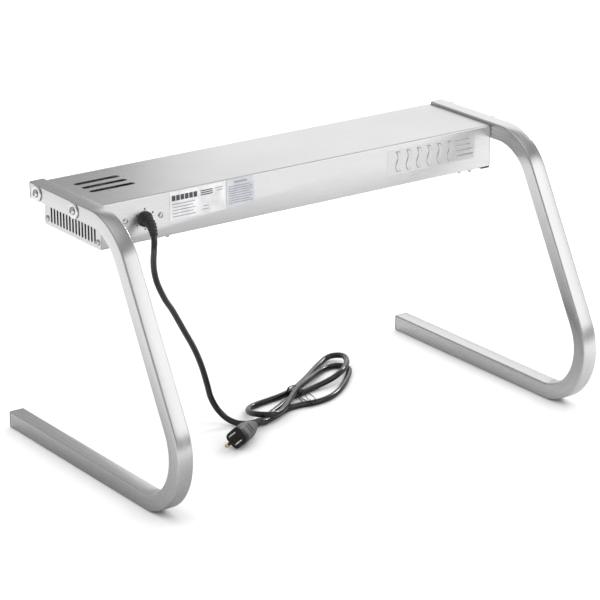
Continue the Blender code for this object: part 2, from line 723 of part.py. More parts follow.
def outlet():
    """The round strain relief in the back wall; its nose droops with the cord."""
    x, z = GLAND
    wall = HALF_WIDTH
    barrel = [(4.35, 3.6), (9.2, 3.6), (10.0, 2.6), (10.0, 0.0), (8.0, 0.0), (8.0, -9.0),
              (4.35, -9.0)]
    ring = turned("strain_relief", barrel, along((0, 1, 0), (x, wall + GAP, z)), BLACK, 20, True)
    end = Vector(CORD_ROUTE[0])
    way = (Vector(CORD_ROUTE[1]) - end).normalized()
    start = end - way * 11.0
    nose = [(4.35, 10.7), (5.6, 10.7), (8.4, 0.0), (4.35, 0.0)]
    tip = turned("relief_nose", nose, along(way, start), None, 20, True, CUTTERS)
    return smooth(join(ring, tip))


def cord_and_bundle():
    """The free stretch of the lead, the tied bundle's solid and the tie round its waist."""
    tube("cord", through(CORD_ROUTE, 10.0), CORD_DIAMETER, JACKET, resolution=2)
    low, high = BUNDLE_Z
    flat("cord_bundle", [BUNDLE_OUTLINE], high - low, JACKET, plan_matrix((low + high) / 2))
    strap, middle = 0.8, (TIE_X[0] + TIE_X[1]) / 2
    loop = [(TIE_Y[0], low - GAP - strap), (TIE_Y[1], low - GAP - strap),
            (TIE_Y[1], high + GAP + strap), (TIE_Y[0], high + GAP + strap)]
    hole = [(TIE_Y[0] + strap, low - GAP), (TIE_Y[1] - strap, low - GAP),
            (TIE_Y[1] - strap, high + GAP), (TIE_Y[0] + strap, high + GAP)]
    flat("cord_tie", [loop, hole], TIE_X[1] - TIE_X[0], BLACK, section_matrix(middle))


def plug_matrix():
    """The plug's frame: local X points out of its face, Y across the blades, Z to the blades."""
    way = Vector((math.cos(PLUG_YAW) * math.cos(PLUG_TILT), math.sin(PLUG_YAW) * math.cos(PLUG_TILT),
                  math.sin(PLUG_TILT)))
    across = Vector((0, 0, 1)).cross(way).normalized()
    roll = Matrix.Rotation(PLUG_ROLL, 3, way)
    across = roll @ across
    up = way.cross(across)
    turn = Matrix((way, across, up)).transposed().to_4x4()
    return Matrix.Translation(mm(*PLUG_FACE)) @ turn


def lofted(name, rings, finish, where):
    """A solid through rings of points; each ring has as many points as the next."""

    def fill(work):
        made = [[work.verts.new(mm(*point)) for point in ring] for ring in rings]
        for one, other in zip(made, made[1:]):
            for a, b, c, d in zip(one, one[1:] + one[:1], other[1:] + other[:1], other):
                work.faces.new((a, b, c, d))
        work.faces.new(made[0])
        work.faces.new(list(reversed(made[-1])))
        bmesh.ops.recalc_face_normals(work, faces=work.faces)

    return place(name, mesh_from(name, fill), finish, where)


def plug():
    """A moulded grounded plug: tapered grip, ribbed neck, two flat blades and a round pin."""
    where = plug_matrix()
    stations = [(0.0, 11.6, 12.0, 6.5), (-1.2, 12.0, 12.6, 7.0), (-24.0, 12.0, 12.6, 7.0),
                (-40.0, 9.6, 10.2, 6.0), (-PLUG_BODY, 5.6, 6.0, 5.0),
                (-PLUG_BODY - 0.4, 5.2, 5.2, 5.0), (-PLUG_NECK_END, 4.6, 4.6, 4.4)]
    rings = []
    for x, half_y, half_z, radius in stations:
        rings.append([(x, y, z) for y, z in rounded((-half_y, -half_z), (half_y, half_z), radius, 3)])
    smooth(lofted("plug_body", rings, GREY, where), 30)
    long, thick, wide = BLADE
    for side, y in (("line", BLADE_SPACING / 2), ("neutral", -BLADE_SPACING / 2)):
        box(f"plug_blade_{side}", (GAP, y - thick / 2, BLADES_ABOVE - wide / 2),
            (long, y + thick / 2, BLADES_ABOVE + wide / 2), BRASS, where=where)
    long, thick = GROUND_PIN
    r = thick / 2
    pin = [(0.0, long), (r * 0.5, long - r * 0.13), (r * 0.87, long - r * 0.5), (r, long - r),
           (r, GAP), (0.0, GAP)]
    seat = where @ Matrix.Translation(mm(0, 0, BLADES_ABOVE - GROUND_BELOW))
    smooth(turned("plug_ground_pin", pin, seat @ along((1, 0, 0), (0, 0, 0)), BRASS, 12))


# ---- plates on the back wall --------------------------------------------------------------


def back_plates():
    """Two thin labels, the raised badge panel and the two pan-head screws of the back wall."""
    face = HALF_WIDTH + 0.05
    for name, low, high, thick in (("rating_label", (121.2, 314.5), (203.5, 351.0), 0.25),
                                   ("notice_label", (77.3, 317.0), (118.9, 351.6), 0.25),
                                   ("badge_panel", (-277.0, 312.0), (-132.0, 345.0), 0.6)):
        box(name, (low[0], face, low[1]), (high[0], face + thick, high[1]), LABEL)
    for number, (x, z) in enumerate(BACK_SCREWS):
        where = along((0, 1, 0), (x, HALF_WIDTH + GAP, z))
        pan_screw(f"back_screw_{number + 1}", where, 7.6, SCREW_SHANK, 7.0)


legs()
housing()
end_plates()
heater()
lower_covers()
wiring()
rocker_switch()
outlet()
cord_and_bundle()
plug()
back_plates()
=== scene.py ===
"""Looks of the strip heat lamp warmer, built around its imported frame.

Lengths in this file are millimetres about the middle of the lamp housing, with X along the
lamp, Y towards the side that the cord leaves, and Z up from the counter. placed() turns them
into the frame's metres. A new surface is a grid of points: rows follow one parameter of its
formula and columns the other.
"""

import math

import bmesh
import bpy
import numpy as np
from mathutils import Matrix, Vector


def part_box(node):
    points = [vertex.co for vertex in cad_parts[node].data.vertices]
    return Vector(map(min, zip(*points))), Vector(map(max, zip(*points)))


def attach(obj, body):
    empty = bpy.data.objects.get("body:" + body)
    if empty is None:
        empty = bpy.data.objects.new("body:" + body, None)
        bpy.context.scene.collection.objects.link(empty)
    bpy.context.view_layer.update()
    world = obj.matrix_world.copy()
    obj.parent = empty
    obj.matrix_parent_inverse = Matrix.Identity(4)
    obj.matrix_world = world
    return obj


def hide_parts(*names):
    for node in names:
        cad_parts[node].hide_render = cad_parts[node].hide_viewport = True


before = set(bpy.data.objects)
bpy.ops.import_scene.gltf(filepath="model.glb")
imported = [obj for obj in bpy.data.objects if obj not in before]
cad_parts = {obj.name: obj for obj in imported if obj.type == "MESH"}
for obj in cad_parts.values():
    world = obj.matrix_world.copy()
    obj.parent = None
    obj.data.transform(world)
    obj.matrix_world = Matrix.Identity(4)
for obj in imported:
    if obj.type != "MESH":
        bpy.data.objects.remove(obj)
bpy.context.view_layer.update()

MM = 0.001
SHELL_LOW, SHELL_HIGH = (np.array(corner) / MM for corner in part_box("housing_shell"))
MIDDLE_Y = (SHELL_LOW[1] + SHELL_HIGH[1]) / 2
WALL_Y = (SHELL_HIGH[1] - SHELL_LOW[1]) / 2  # outer face of the wall with the cord
LAMP_UNDER = SHELL_LOW[2]
BODY = "body"
UP = np.array([0.0, 0.0, 1.0])


def placed(points):
    """Millimetres about the lamp's middle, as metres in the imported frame."""
    return (np.asarray(points, float) + [0.0, MIDDLE_Y, 0.0]) * MM


# ---- camera ---------------------------------------------------------------------------------

CAMERA_TARGET = (7.64, 67.07, 169.69)
CAMERA_AZIMUTH, CAMERA_RISE, CAMERA_ROLL = np.radians([145.05, 19.38, -0.42])
CAMERA_DISTANCE = 3595.71
CAMERA_LENS = 166.66


def make_camera():
    """A long lens that looks at the lamp's corded side from above its control end."""
    back = np.array([math.sin(CAMERA_AZIMUTH) * math.cos(CAMERA_RISE),
                     -math.cos(CAMERA_AZIMUTH) * math.cos(CAMERA_RISE), math.sin(CAMERA_RISE)])
    right = np.cross(-back, UP)
    right /= np.linalg.norm(right)
    up = np.cross(right, -back)
    c, s = math.cos(CAMERA_ROLL), math.sin(CAMERA_ROLL)
    data = bpy.data.cameras.new("view")
    data.lens, data.sensor_width = CAMERA_LENS, 36.0
    data.clip_start, data.clip_end = 0.1, 60.0
    camera = bpy.data.objects.new("view", data)
    bpy.context.scene.collection.objects.link(camera)
    pose = np.eye(4)
    pose[:3, 0], pose[:3, 1], pose[:3, 2] = c * right + s * up, c * up - s * right, back
    pose[:3, 3] = placed(np.array(CAMERA_TARGET) + back * CAMERA_DISTANCE)
    camera.matrix_world = Matrix(pose.tolist())
    bpy.context.scene.camera = camera


make_camera()


# ---- finishes -------------------------------------------------------------------------------


def add(tree, kind, inputs=None, **settings):
    """A shader node with its settings; an input is a number, a colour or another node's socket."""
    made = tree.nodes.new("ShaderNode" + kind)
    for key, value in settings.items():
        setattr(made, key, value)
    for key, value in (inputs or {}).items():
        if isinstance(value, bpy.types.NodeSocket):
            tree.links.new(value, made.inputs[key])
        else:
            made.inputs[key].default_value = value
    return made


def node_group(name, inputs, outputs):
    """An empty shader group with its sockets; returns the group, its entry and its exit."""
    made = bpy.data.node_groups.new(name, "ShaderNodeTree")
    for socket, kind, value in inputs:
        entry = made.interface.new_socket(socket, in_out="INPUT", socket_type="NodeSocket" + kind)
        if value is not None:
            entry.default_value = value
    for socket, kind in outputs:
        made.interface.new_socket(socket, in_out="OUTPUT", socket_type="NodeSocket" + kind)
    return made, made.nodes.new("NodeGroupInput"), made.nodes.new("NodeGroupOutput")


def brushed_grain():
    """Fine streaks of a belt-brushed sheet, and the slow cloudiness of handling over them."""
    made, entry, leave = node_group(
        "brushed grain",
        [("Vector", "Vector", None), ("Stretch", "Vector", (1.0, 1.0, 1.0)),
         ("Cloud Size", "Float", 7.0)],
        [("Streak", "Float"), ("Cloud", "Float")])
    run = add(made, "VectorMath", {0: entry.outputs["Vector"], 1: entry.outputs["Stretch"]},
              operation="MULTIPLY").outputs["Vector"]
    fine = add(made, "TexNoise", {"Vector": run, "Scale": 1.0, "Detail": 4.0, "Roughness": 0.7})
    cloud = add(made, "TexNoise", {"Vector": entry.outputs["Vector"], "Detail": 2.0,
                                   "Scale": entry.outputs["Cloud Size"]})
    made.links.new(fine.outputs["Fac"], leave.inputs["Streak"])
    made.links.new(cloud.outputs["Fac"], leave.inputs["Cloud"])
    return made


def moulded_skin():
    """The fine stipple of moulded plastic or rubber, and a slow unevenness of its gloss."""
    made, entry, leave = node_group(
        "moulded skin",
        [("Vector", "Vector", None), ("Stipple", "Float", 1800.0)],
        [("Height", "Float"), ("Gloss", "Float")])
    fine = add(made, "TexNoise", {"Vector": entry.outputs["Vector"], "Detail": 2.0,
                                  "Scale": entry.outputs["Stipple"]})
    slow = add(made, "TexNoise", {"Vector": entry.outputs["Vector"], "Scale": 60.0, "Detail": 3.0})
    made.links.new(fine.outputs["Fac"], leave.inputs["Height"])
    made.links.new(slow.outputs["Fac"], leave.inputs["Gloss"])
    return made


GRAIN, SKIN = brushed_grain(), moulded_skin()


def new_material(name):
    made = bpy.data.materials.new(name)
    made.use_nodes = True
    return made, made.node_tree, made.node_tree.nodes["Principled BSDF"]


def spread(tree, value, low, high, start=0.3, end=0.7):
    """A value between two numbers, as a mask runs from a start to an end."""
    return add(tree, "MapRange", {"Value": value, "From Min": start, "From Max": end,
                                  "To Min": low, "To Max": high}).outputs["Result"]


def tones(tree, value, dark, light, start=0.3, end=0.7):
    """A colour between two tones, as a mask runs from a start to an end."""
    ramp = add(tree, "ValToRGB", {"Fac": value})
    for stop, (place, colour) in zip(ramp.color_ramp.elements, ((start, dark), (end, light))):
        stop.position, stop.color = place, (*colour, 1.0)
    return ramp.outputs["Color"]


def brushed_metal(name, colour, roughness, stretch, by_uv=False, depth=0.12, contrast=0.06):
    """Brushed metal: its streaks are long where the stretch is small, fine where it is large."""
    made, tree, shader = new_material(name)
    where = add(tree, "TexCoord").outputs["UV" if by_uv else "Object"]
    grain = tree.nodes.new("ShaderNodeGroup")
    grain.node_tree = GRAIN
    tree.links.new(where, grain.inputs["Vector"])
    grain.inputs["Stretch"].default_value = stretch
    dark = [c * (1 - contrast) for c in colour]
    light = [min(1.0, c * (1 + contrast)) for c in colour]
    tree.links.new(tones(tree, grain.outputs["Streak"], dark, light), shader.inputs["Base Color"])
    rough = add(tree, "Math", {0: spread(tree, grain.outputs["Streak"], -0.05, 0.05),
                               1: spread(tree, grain.outputs["Cloud"], roughness - 0.03,
                                         roughness + 0.03)}, operation="ADD")
    tree.links.new(rough.outputs["Value"], shader.inputs["Roughness"])
    bump = add(tree, "Bump", {"Strength": depth, "Distance": 0.0002,
                              "Height": grain.outputs["Streak"]})
    tree.links.new(bump.outputs["Normal"], shader.inputs["Normal"])
    shader.inputs["Metallic"].default_value = 1.0
    return made


def moulded(name, colour, roughness, stipple=1800.0, depth=0.1, spreading=0.06, coat=0.0):
    """Moulded plastic, rubber, ceramic or film with a stippled skin."""
    made, tree, shader = new_material(name)
    skin = tree.nodes.new("ShaderNodeGroup")
    skin.node_tree = SKIN
    tree.links.new(add(tree, "TexCoord").outputs["Object"], skin.inputs["Vector"])
    skin.inputs["Stipple"].default_value = stipple
    dark, light = [c * 0.85 for c in colour], [min(1.0, c * 1.12) for c in colour]
    tree.links.new(tones(tree, skin.outputs["Gloss"], dark, light), shader.inputs["Base Color"])
    tree.links.new(spread(tree, skin.outputs["Gloss"], roughness - spreading,
                          roughness + spreading), shader.inputs["Roughness"])
    bump = add(tree, "Bump", {"Strength": depth, "Distance": 0.0001,
                              "Height": skin.outputs["Height"]})
    tree.links.new(bump.outputs["Normal"], shader.inputs["Normal"])
    if coat:
        shader.inputs["Coat Weight"].default_value = coat
        shader.inputs["Coat Roughness"].default_value = 0.12
    return made


STEEL_TONE = (0.57, 0.57, 0.575)
SHEET_STEEL = brushed_metal("sheet_steel", STEEL_TONE, 0.30, (9.0, 1600.0, 1600.0))
CROSS_STEEL = brushed_metal("cross_grained_steel", STEEL_TONE, 0.32, (1600.0, 9.0, 1600.0))
TUBE_STEEL = brushed_metal("tube_steel", (0.57, 0.57, 0.575), 0.27, (10.0, 1500.0, 1.0), by_uv=True)
BADGE_STEEL = brushed_metal("badge_steel", (0.55, 0.55, 0.555), 0.33, (9.0, 1600.0, 1600.0))
MIRROR_STEEL = brushed_metal("reflector_sheet", (0.86, 0.86, 0.87), 0.10, (9.0, 900.0, 900.0),
                             depth=0.05, contrast=0.03)
ZINC = brushed_metal("bright_zinc", (0.66, 0.66, 0.65), 0.22, (500.0, 500.0, 500.0), depth=0.05)
GUARD_WIRE = brushed_metal("guard_wire", (0.60, 0.60, 0.60), 0.25, (300.0, 300.0, 300.0))
SHEATH = brushed_metal("element_sheath", (0.17, 0.15, 0.14), 0.42, (30.0, 700.0, 700.0),
                       contrast=0.25)
PLATED_PRONG = brushed_metal("plated_prong", (0.80, 0.78, 0.72), 0.20, (300.0, 300.0, 300.0),
                             depth=0.05)
BRASS = brushed_metal("brass", (0.78, 0.58, 0.28), 0.24, (300.0, 300.0, 300.0), depth=0.05)
CAP_PLASTIC = moulded("cap_plastic", (0.018, 0.018, 0.019), 0.42)
GLAND_PLASTIC = moulded("gland_plastic", (0.012, 0.012, 0.013), 0.36)
SWITCH_PLASTIC = moulded("switch_plastic", (0.015, 0.015, 0.016), 0.28)
JACKET = moulded("cord_jacket", (0.007, 0.007, 0.008), 0.20, stipple=900.0, depth=0.05,
                 spreading=0.04, coat=0.3)
PLUG_RUBBER = moulded("plug_rubber", (0.105, 0.105, 0.11), 0.42, stipple=1500.0, depth=0.15)
PLUG_DARK = moulded("plug_dark", (0.013, 0.013, 0.014), 0.38)
CERAMIC = moulded("ceramic", (0.84, 0.80, 0.72), 0.45, stipple=700.0)
FIBRE = moulded("insulating_fibre", (0.82, 0.80, 0.75), 0.9, stipple=500.0, depth=0.6)
ORANGE = moulded("orange_lead", (0.85, 0.16, 0.03), 0.35)
WHITE_LEAD = moulded("white_lead", (0.82, 0.82, 0.80), 0.38)
GREEN_LEAD = moulded("green_lead", (0.03, 0.30, 0.08), 0.38)


# ---- surface makers ---------------------------------------------------------------------------


def finish_with(obj, *materials):
    for material in materials:
        obj.data.materials.append(material)
    return obj


def surface(name, grid, material, wrap=False, ring=False, ends=False, sharp=35.0, uv=None):
    """A mesh from a grid of points in millimetres.

    Neighbouring rows and columns are joined by quads. wrap joins the last column to the first,
    ring joins the last row to the first, and ends closes the first and the last row.
    """
    grid = np.asarray(grid, float)
    rows, columns = grid.shape[:2]
    number = np.arange(rows * columns).reshape(rows, columns)
    i = np.arange(rows if ring else rows - 1)[:, None]
    j = np.arange(columns if wrap else columns - 1)[None, :]
    i2, j2 = (i + 1) % rows, (j + 1) % columns
    quads = np.stack([number[i, j], number[i2, j], number[i2, j2], number[i, j2]], -1)
    faces = quads.reshape(-1, 4).tolist()
    if ends:
        faces += [number[0].tolist(), number[-1][::-1].tolist()]
    data = bpy.data.meshes.new(name)
    data.from_pydata(placed(grid.reshape(-1, 3)).tolist(), [], faces)
    if uv is not None:
        along, around = uv
        corners = np.stack([np.stack(np.broadcast_arrays(along[a], around[b]), -1)
                            for a, b in ((i, j), (i + 1, j), (i + 1, j + 1), (i, j + 1))], -2)
        flat = np.zeros((len(data.loops), 2))
        flat[:corners.size // 2] = corners.reshape(-1, 2) * MM
        data.uv_layers.new(name="grain").data.foreach_set("uv", flat.ravel())
    work = bmesh.new()
    work.from_mesh(data)
    bmesh.ops.remove_doubles(work, verts=work.verts, dist=2e-6)
    bmesh.ops.recalc_face_normals(work, faces=work.faces)
    work.to_mesh(data)
    work.free()
    data.shade_smooth()
    data.set_sharp_from_angle(angle=math.radians(sharp))
    obj = bpy.data.objects.new(name, data)
    bpy.context.scene.collection.objects.link(obj)
    return finish_with(obj, material)


def joined(name, pieces):
    """Several meshes as one piece."""
    work = bmesh.new()
    for piece in pieces:
        work.from_mesh(piece.data)
    data = bpy.data.meshes.new(name)
    work.to_mesh(data)
    work.free()
    material = pieces[0].data.materials[0]
    for piece in pieces:
        bpy.data.objects.remove(piece)
    data.set_sharp_from_angle(angle=math.radians(35))
    obj = bpy.data.objects.new(name, data)
    bpy.context.scene.collection.objects.link(obj)
    return finish_with(obj, material)


def rounded_rectangle(half_x, half_y, radius, steps):
    """A closed outline: each corner is a quarter circle of the radius."""
    quarter = np.arange(4)[:, None] * math.pi / 2
    turn = quarter + np.linspace(0, math.pi / 2, steps + 1)[None, :]
    sign_x, sign_y = np.array([1, -1, -1, 1])[:, None], np.array([1, 1, -1, -1])[:, None]
    x = sign_x * (half_x - radius) + radius * np.cos(turn)
    y = sign_y * (half_y - radius) + radius * np.sin(turn)
    return np.stack([x.ravel(), y.ravel()], -1)


def unit(vectors):
    return vectors / np.linalg.norm(vectors, axis=-1, keepdims=True)


def smooth_line(points, spacing):
    """A Catmull-Rom curve through points, read at an even spacing along its length."""
    points = np.asarray(points, float)
    held = np.vstack([2 * points[0] - points[1], points, 2 * points[-1] - points[-2]])
    t = np.linspace(0, 1, 40, endpoint=False)[None, :, None]
    a, b, c, d = (held[k:len(held) - 3 + k, None, :] for k in range(4))
    fine = 0.5 * (2 * b + (c - a) * t + (2 * a - 5 * b + 4 * c - d) * t**2
                  + (3 * b - a - 3 * c + d) * t**3)
    fine = np.vstack([fine.reshape(-1, 3), points[-1]])
    reach = np.concatenate([[0], np.cumsum(np.linalg.norm(np.diff(fine, axis=0), axis=1))])
    wanted = np.linspace(0, reach[-1], max(3, round(reach[-1] / spacing) + 1))
    return np.stack([np.interp(wanted, reach, fine[:, k]) for k in range(3)], -1)


def line_frames(line):
    """Two unit normals at each point of a line, carried along it without twist."""
    tangent = unit(np.gradient(line, axis=0))
    start = np.array([0.0, 0.0, 1.0]) if abs(tangent[0, 2]) < 0.9 else np.array([1.0, 0.0, 0.0])
    side = np.empty_like(line)
    side[0] = unit(np.cross(tangent[0], start))
    for k in range(1, len(line)):
        side[k] = unit(side[k - 1] - tangent[k] * (side[k - 1] @ tangent[k]))
    return side, np.cross(tangent, side)


def round_bar(name, line, radius, material, sides=14):
    """A bar round a line: a circle, whose radius may change along the line, carried along it."""
    line = np.asarray(line, float)
    one, other = line_frames(line)
    turn = np.linspace(0, 2 * math.pi, sides, endpoint=False)[None, :, None]
    radius = np.broadcast_to(radius, len(line))[:, None, None]
    grid = line[:, None] + radius * (one[:, None] * np.cos(turn) + other[:, None] * np.sin(turn))
    return surface(name, grid, material, wrap=True, ends=True, sharp=50)


def axes_of(axis):
    """A right-handed set of three unit vectors whose last is the axis."""
    axis = unit(np.asarray(axis, float))
    guide = np.array([0.0, 0.0, 1.0]) if abs(axis[2]) < 0.9 else np.array([0.0, 1.0, 0.0])
    one = unit(np.cross(guide, axis))
    return np.stack([one, np.cross(axis, one), axis])


def turned(name, profile, start, axis, material, sides=40, hollow=False):
    """A turned piece: radius and height pairs spun about an axis that leaves a start."""
    profile = np.asarray(profile, float)
    turn = np.linspace(0, 2 * math.pi, sides, endpoint=False)[None, :]
    radius, height = profile[:, :1], np.repeat(profile[:, 1:], sides, 1)
    local = np.stack([radius * np.cos(turn), radius * np.sin(turn), height], -1)
    grid = np.asarray(start, float) + local @ axes_of(axis)
    return surface(name, grid, material, wrap=True, ring=hollow)


def refined(node, material, width=0.3, segments=2, angle=30):
    """A folded or moulded CAD piece with its doubles merged and its edges rounded."""
    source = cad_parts[node].data
    work = bmesh.new()
    work.from_mesh(source)
    bmesh.ops.remove_doubles(work, verts=work.verts, dist=1e-5)
    bmesh.ops.dissolve_limit(work, angle_limit=math.radians(0.4), verts=work.verts,
                             edges=work.edges)
    data = bpy.data.meshes.new(node + "_sheet")
    work.to_mesh(data)
    work.free()
    data.shade_smooth()
    data.set_sharp_from_angle(angle=math.radians(angle))
    obj = bpy.data.objects.new(node + "_finished", data)
    bpy.context.scene.collection.objects.link(obj)
    finish_with(obj, material)
    edge = obj.modifiers.new("rounded edges", "BEVEL")
    edge.width, edge.segments = width * MM, segments
    edge.limit_method, edge.angle_limit = "ANGLE", math.radians(angle)
    edge.use_clamp_overlap = True
    edge.harden_normals = True
    return obj


def carried(obj, slot, *nodes, body=BODY):
    """The piece rides on a body and stands for CAD nodes, which it hides; the slot is not used."""
    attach(obj, body)
    if nodes:
        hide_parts(*nodes)
    return obj


# ---- cord -------------------------------------------------------------------------------------

CORD_DIAMETER = 8.0
CORD_STEP = 2.5  # between the rings of its tube
CORD_EXIT = (240.3, 79.4, 321.6)
HANGING_CORD = [
    CORD_EXIT,
    (241.6, 88.0, 315.5),
    (243.9, 94.6, 305.5),
    (246.4, 97.4, 293.0),
    (247.2, 96.6, 278.0),
    (244.6, 94.2, 262.0),
    (237.4, 89.6, 244.0),
    (222.0, 81.0, 219.0),
    (204.8, 70.8, 197.6),
    (178.0, 55.4, 159.4),
    (155.3, 41.9, 127.0),
    (137.0, 30.2, 95.0),
    (122.9, 20.4, 64.0),
    (113.2, 13.2, 42.0),
    (102.4, 11.8, 22.6),
    (93.2, 19.0, 10.0),
    (85.6, 29.4, 5.0),
    (77.8, 37.3, 4.15),
    (69.5, 41.3, 4.15),
]
BUNDLED_CORD = [
    (57.5, 41.6, 4.15), (46.5, 37.6, 4.15), (35.0, 31.6, 4.15), (21.0, 23.8, 4.15),
    (4.8, 14.8, 4.15), (-11.7, 4.6, 4.15), (-30.0, -4.2, 4.2), (-51.4, -9.4, 4.4),
    (-72.8, -14.2, 5.2), (-92.6, -16.6, 7.4), (-110.2, -20.0, 10.0), (-125.6, -26.4, 12.4),
    (-139.6, -36.6, 13.2), (-152.6, -51.0, 13.0), (-161.8, -66.0, 11.6), (-166.0, -77.6, 10.2),
    (-164.6, -88.0, 8.6), (-156.8, -94.4, 7.0), (-146.0, -93.4, 5.4), (-133.0, -86.0, 4.4),
    (-114.4, -73.4, 4.15), (-85.0, -51.4, 4.15), (-57.0, -32.6, 4.15), (-43.5, -25.0, 4.15),
    (-28.1, -19.3, 4.15), (-8.3, -14.6, 4.15), (10.7, -11.9, 4.15), (26.5, -9.0, 4.4),
    (38.6, -4.6, 5.0), (48.4, 4.0, 6.2), (54.6, 15.0, 8.4), (58.2, 27.0, 11.0),
    (58.6, 37.4, 13.4), (56.2, 46.2, 14.9), (49.8, 52.2, 15.2), (40.8, 53.6, 14.4),
    (28.2, 48.6, 12.8), (10.4, 36.2, 12.3), (-9.2, 18.1, 12.3), (-26.6, 2.6, 12.4),
    (-40.6, -9.6, 12.4), (-56.0, -19.8, 11.4), (-74.0, -32.0, 9.6), (-98.6, -50.0, 6.6),
    (-118.4, -62.4, 4.6), (-133.6, -67.6, 4.15), (-145.8, -66.0, 4.15), (-153.0, -58.2, 4.15),
    (-152.6, -47.2, 4.15), (-145.4, -35.6, 4.15), (-134.4, -23.4, 4.15), (-121.6, -10.4, 4.15),
    (-106.0, 3.4, 4.15), (-89.5, 15.4, 4.15), (-71.7, 24.8, 4.15), (-52.5, 29.4, 4.15),
    (-36.4, 28.9, 4.15), (-21.0, 26.2, 4.15), (-4.4, 26.2, 4.15), (11.3, 31.2, 4.15),
    (27.6, 38.2, 4.15), (41.4, 44.0, 4.2), (52.6, 48.8, 4.8), (60.0, 52.0, 7.0),
    (66.1, 55.3, 10.5),
]


def supply_cord():
    """The round black lead, from the outlet down to the counter and through its tied bundle."""
    route = smooth_line(HANGING_CORD + BUNDLED_CORD, CORD_STEP)
    cord = round_bar("supply_cord", route, CORD_DIAMETER / 2, JACKET, sides=16)
    carried(cord, "cord_jacket", "cord", "cord_bundle")
    return cord, placed(route)


CORD, CORD_LINE = supply_cord()


TIE_WAIST = np.array([-40.0, -10.5, 0.0])  # where the bundle is tied
TIE_WIRE, TIE_TAIL = 0.55, 0.7  # radii
# Each turn: its way across, near and far reach, low and high reach, start and drift along.
TIE_LENGTHWAYS = unit(np.array([0.88, 0.47, 0.0]))
TIE_ACROSS = np.array([-TIE_LENGTHWAYS[1], TIE_LENGTHWAYS[0], 0.0])
TIE_OUT, TIE_ASIDE = np.array([0.21, 0.978, 0.0]), np.array([-0.07, 0.997, 0.0])
TIE_TURNS = (
    (TIE_ACROSS, -12.4, 8.6, -0.1, 14.2, -1.5, 1.6),
    (TIE_ACROSS, -12.6, 8.8, -0.2, 14.4, 0.4, 1.6),
    (TIE_ACROSS, -12.8, 9.0, -0.3, 14.6, 2.2, 1.4),
    (TIE_OUT, -2.0, 44.0, 0.2, 14.2, 0.0, 3.0),
    (TIE_ASIDE, -2.0, 43.0, 0.2, 14.0, 0.0, 5.0),
)


def twist_tie():
    """Thin wire wound round the bundle's waist, with two slack loops out to the outer run.

    A loop is an ellipse in an upright plane, which drifts along the bundle as it turns.
    """
    loops = []
    for number, (way, near, far, low, high, start, drift) in enumerate(TIE_TURNS):
        turn = np.linspace(0, 2 * math.pi, 60) + 0.7 * number
        middle, reach = (near + far) / 2, (far - near) / 2
        rise, half = (low + high) / 2 + 0.9, (high - low) / 2
        line = (TIE_WAIST + TIE_LENGTHWAYS * (start + drift * np.linspace(0, 1, 60))[:, None]
                + way * (middle + reach * np.cos(turn))[:, None]
                + UP * (rise + half * np.sin(turn))[:, None])
        loops.append(round_bar("loop", line, TIE_WIRE, CAP_PLASTIC, sides=6))
    tail = smooth_line([(-36.0, 26.0, 8.6), (-33.5, 31.0, 9.2), (-34.5, 35.0, 6.0),
                        (-38.0, 34.5, 2.6)], 1.0)
    loops.append(round_bar("loop", tail, TIE_TAIL, CAP_PLASTIC, sides=6))
    return carried(joined("twist_tie", loops), "black_plastic", "cord_tie")


# ---- plug ---------------------------------------------------------------------------------------

PLUG_FACE = np.array([130.0, 97.8, 16.4])
PLUG_YAW, PLUG_TILT, PLUG_ROLL = np.radians([33.6, 4.4, -45.0])
PLUG_BODY, PLUG_NECK_END = 58.0, 77.0


def plug_axes():
    """Rows: out of the plug's face, across the blades, and from the pin to the blades."""
    out = np.array([math.cos(PLUG_YAW) * math.cos(PLUG_TILT),
                    math.sin(PLUG_YAW) * math.cos(PLUG_TILT), math.sin(PLUG_TILT)])
    level = unit(np.cross(UP, out))
    upright = np.cross(out, level)
    across = level * math.cos(PLUG_ROLL) + upright * math.sin(PLUG_ROLL)
    return np.stack([out, across, np.cross(out, across)])


PLUG_AXES = plug_axes()


def on_plug(local):
    return PLUG_FACE + np.asarray(local, float) @ PLUG_AXES


def plug_rings(stations, steps=6):
    """Rounded rectangles carried back along the plug: distance, half sizes, corner radius."""
    rings = []
    for x, half_y, half_z, radius in stations:
        outline = rounded_rectangle(half_y, half_z, min(radius, half_y * 0.999), steps)
        rings.append(np.column_stack([np.full(len(outline), x), outline]))
    return np.array(rings)


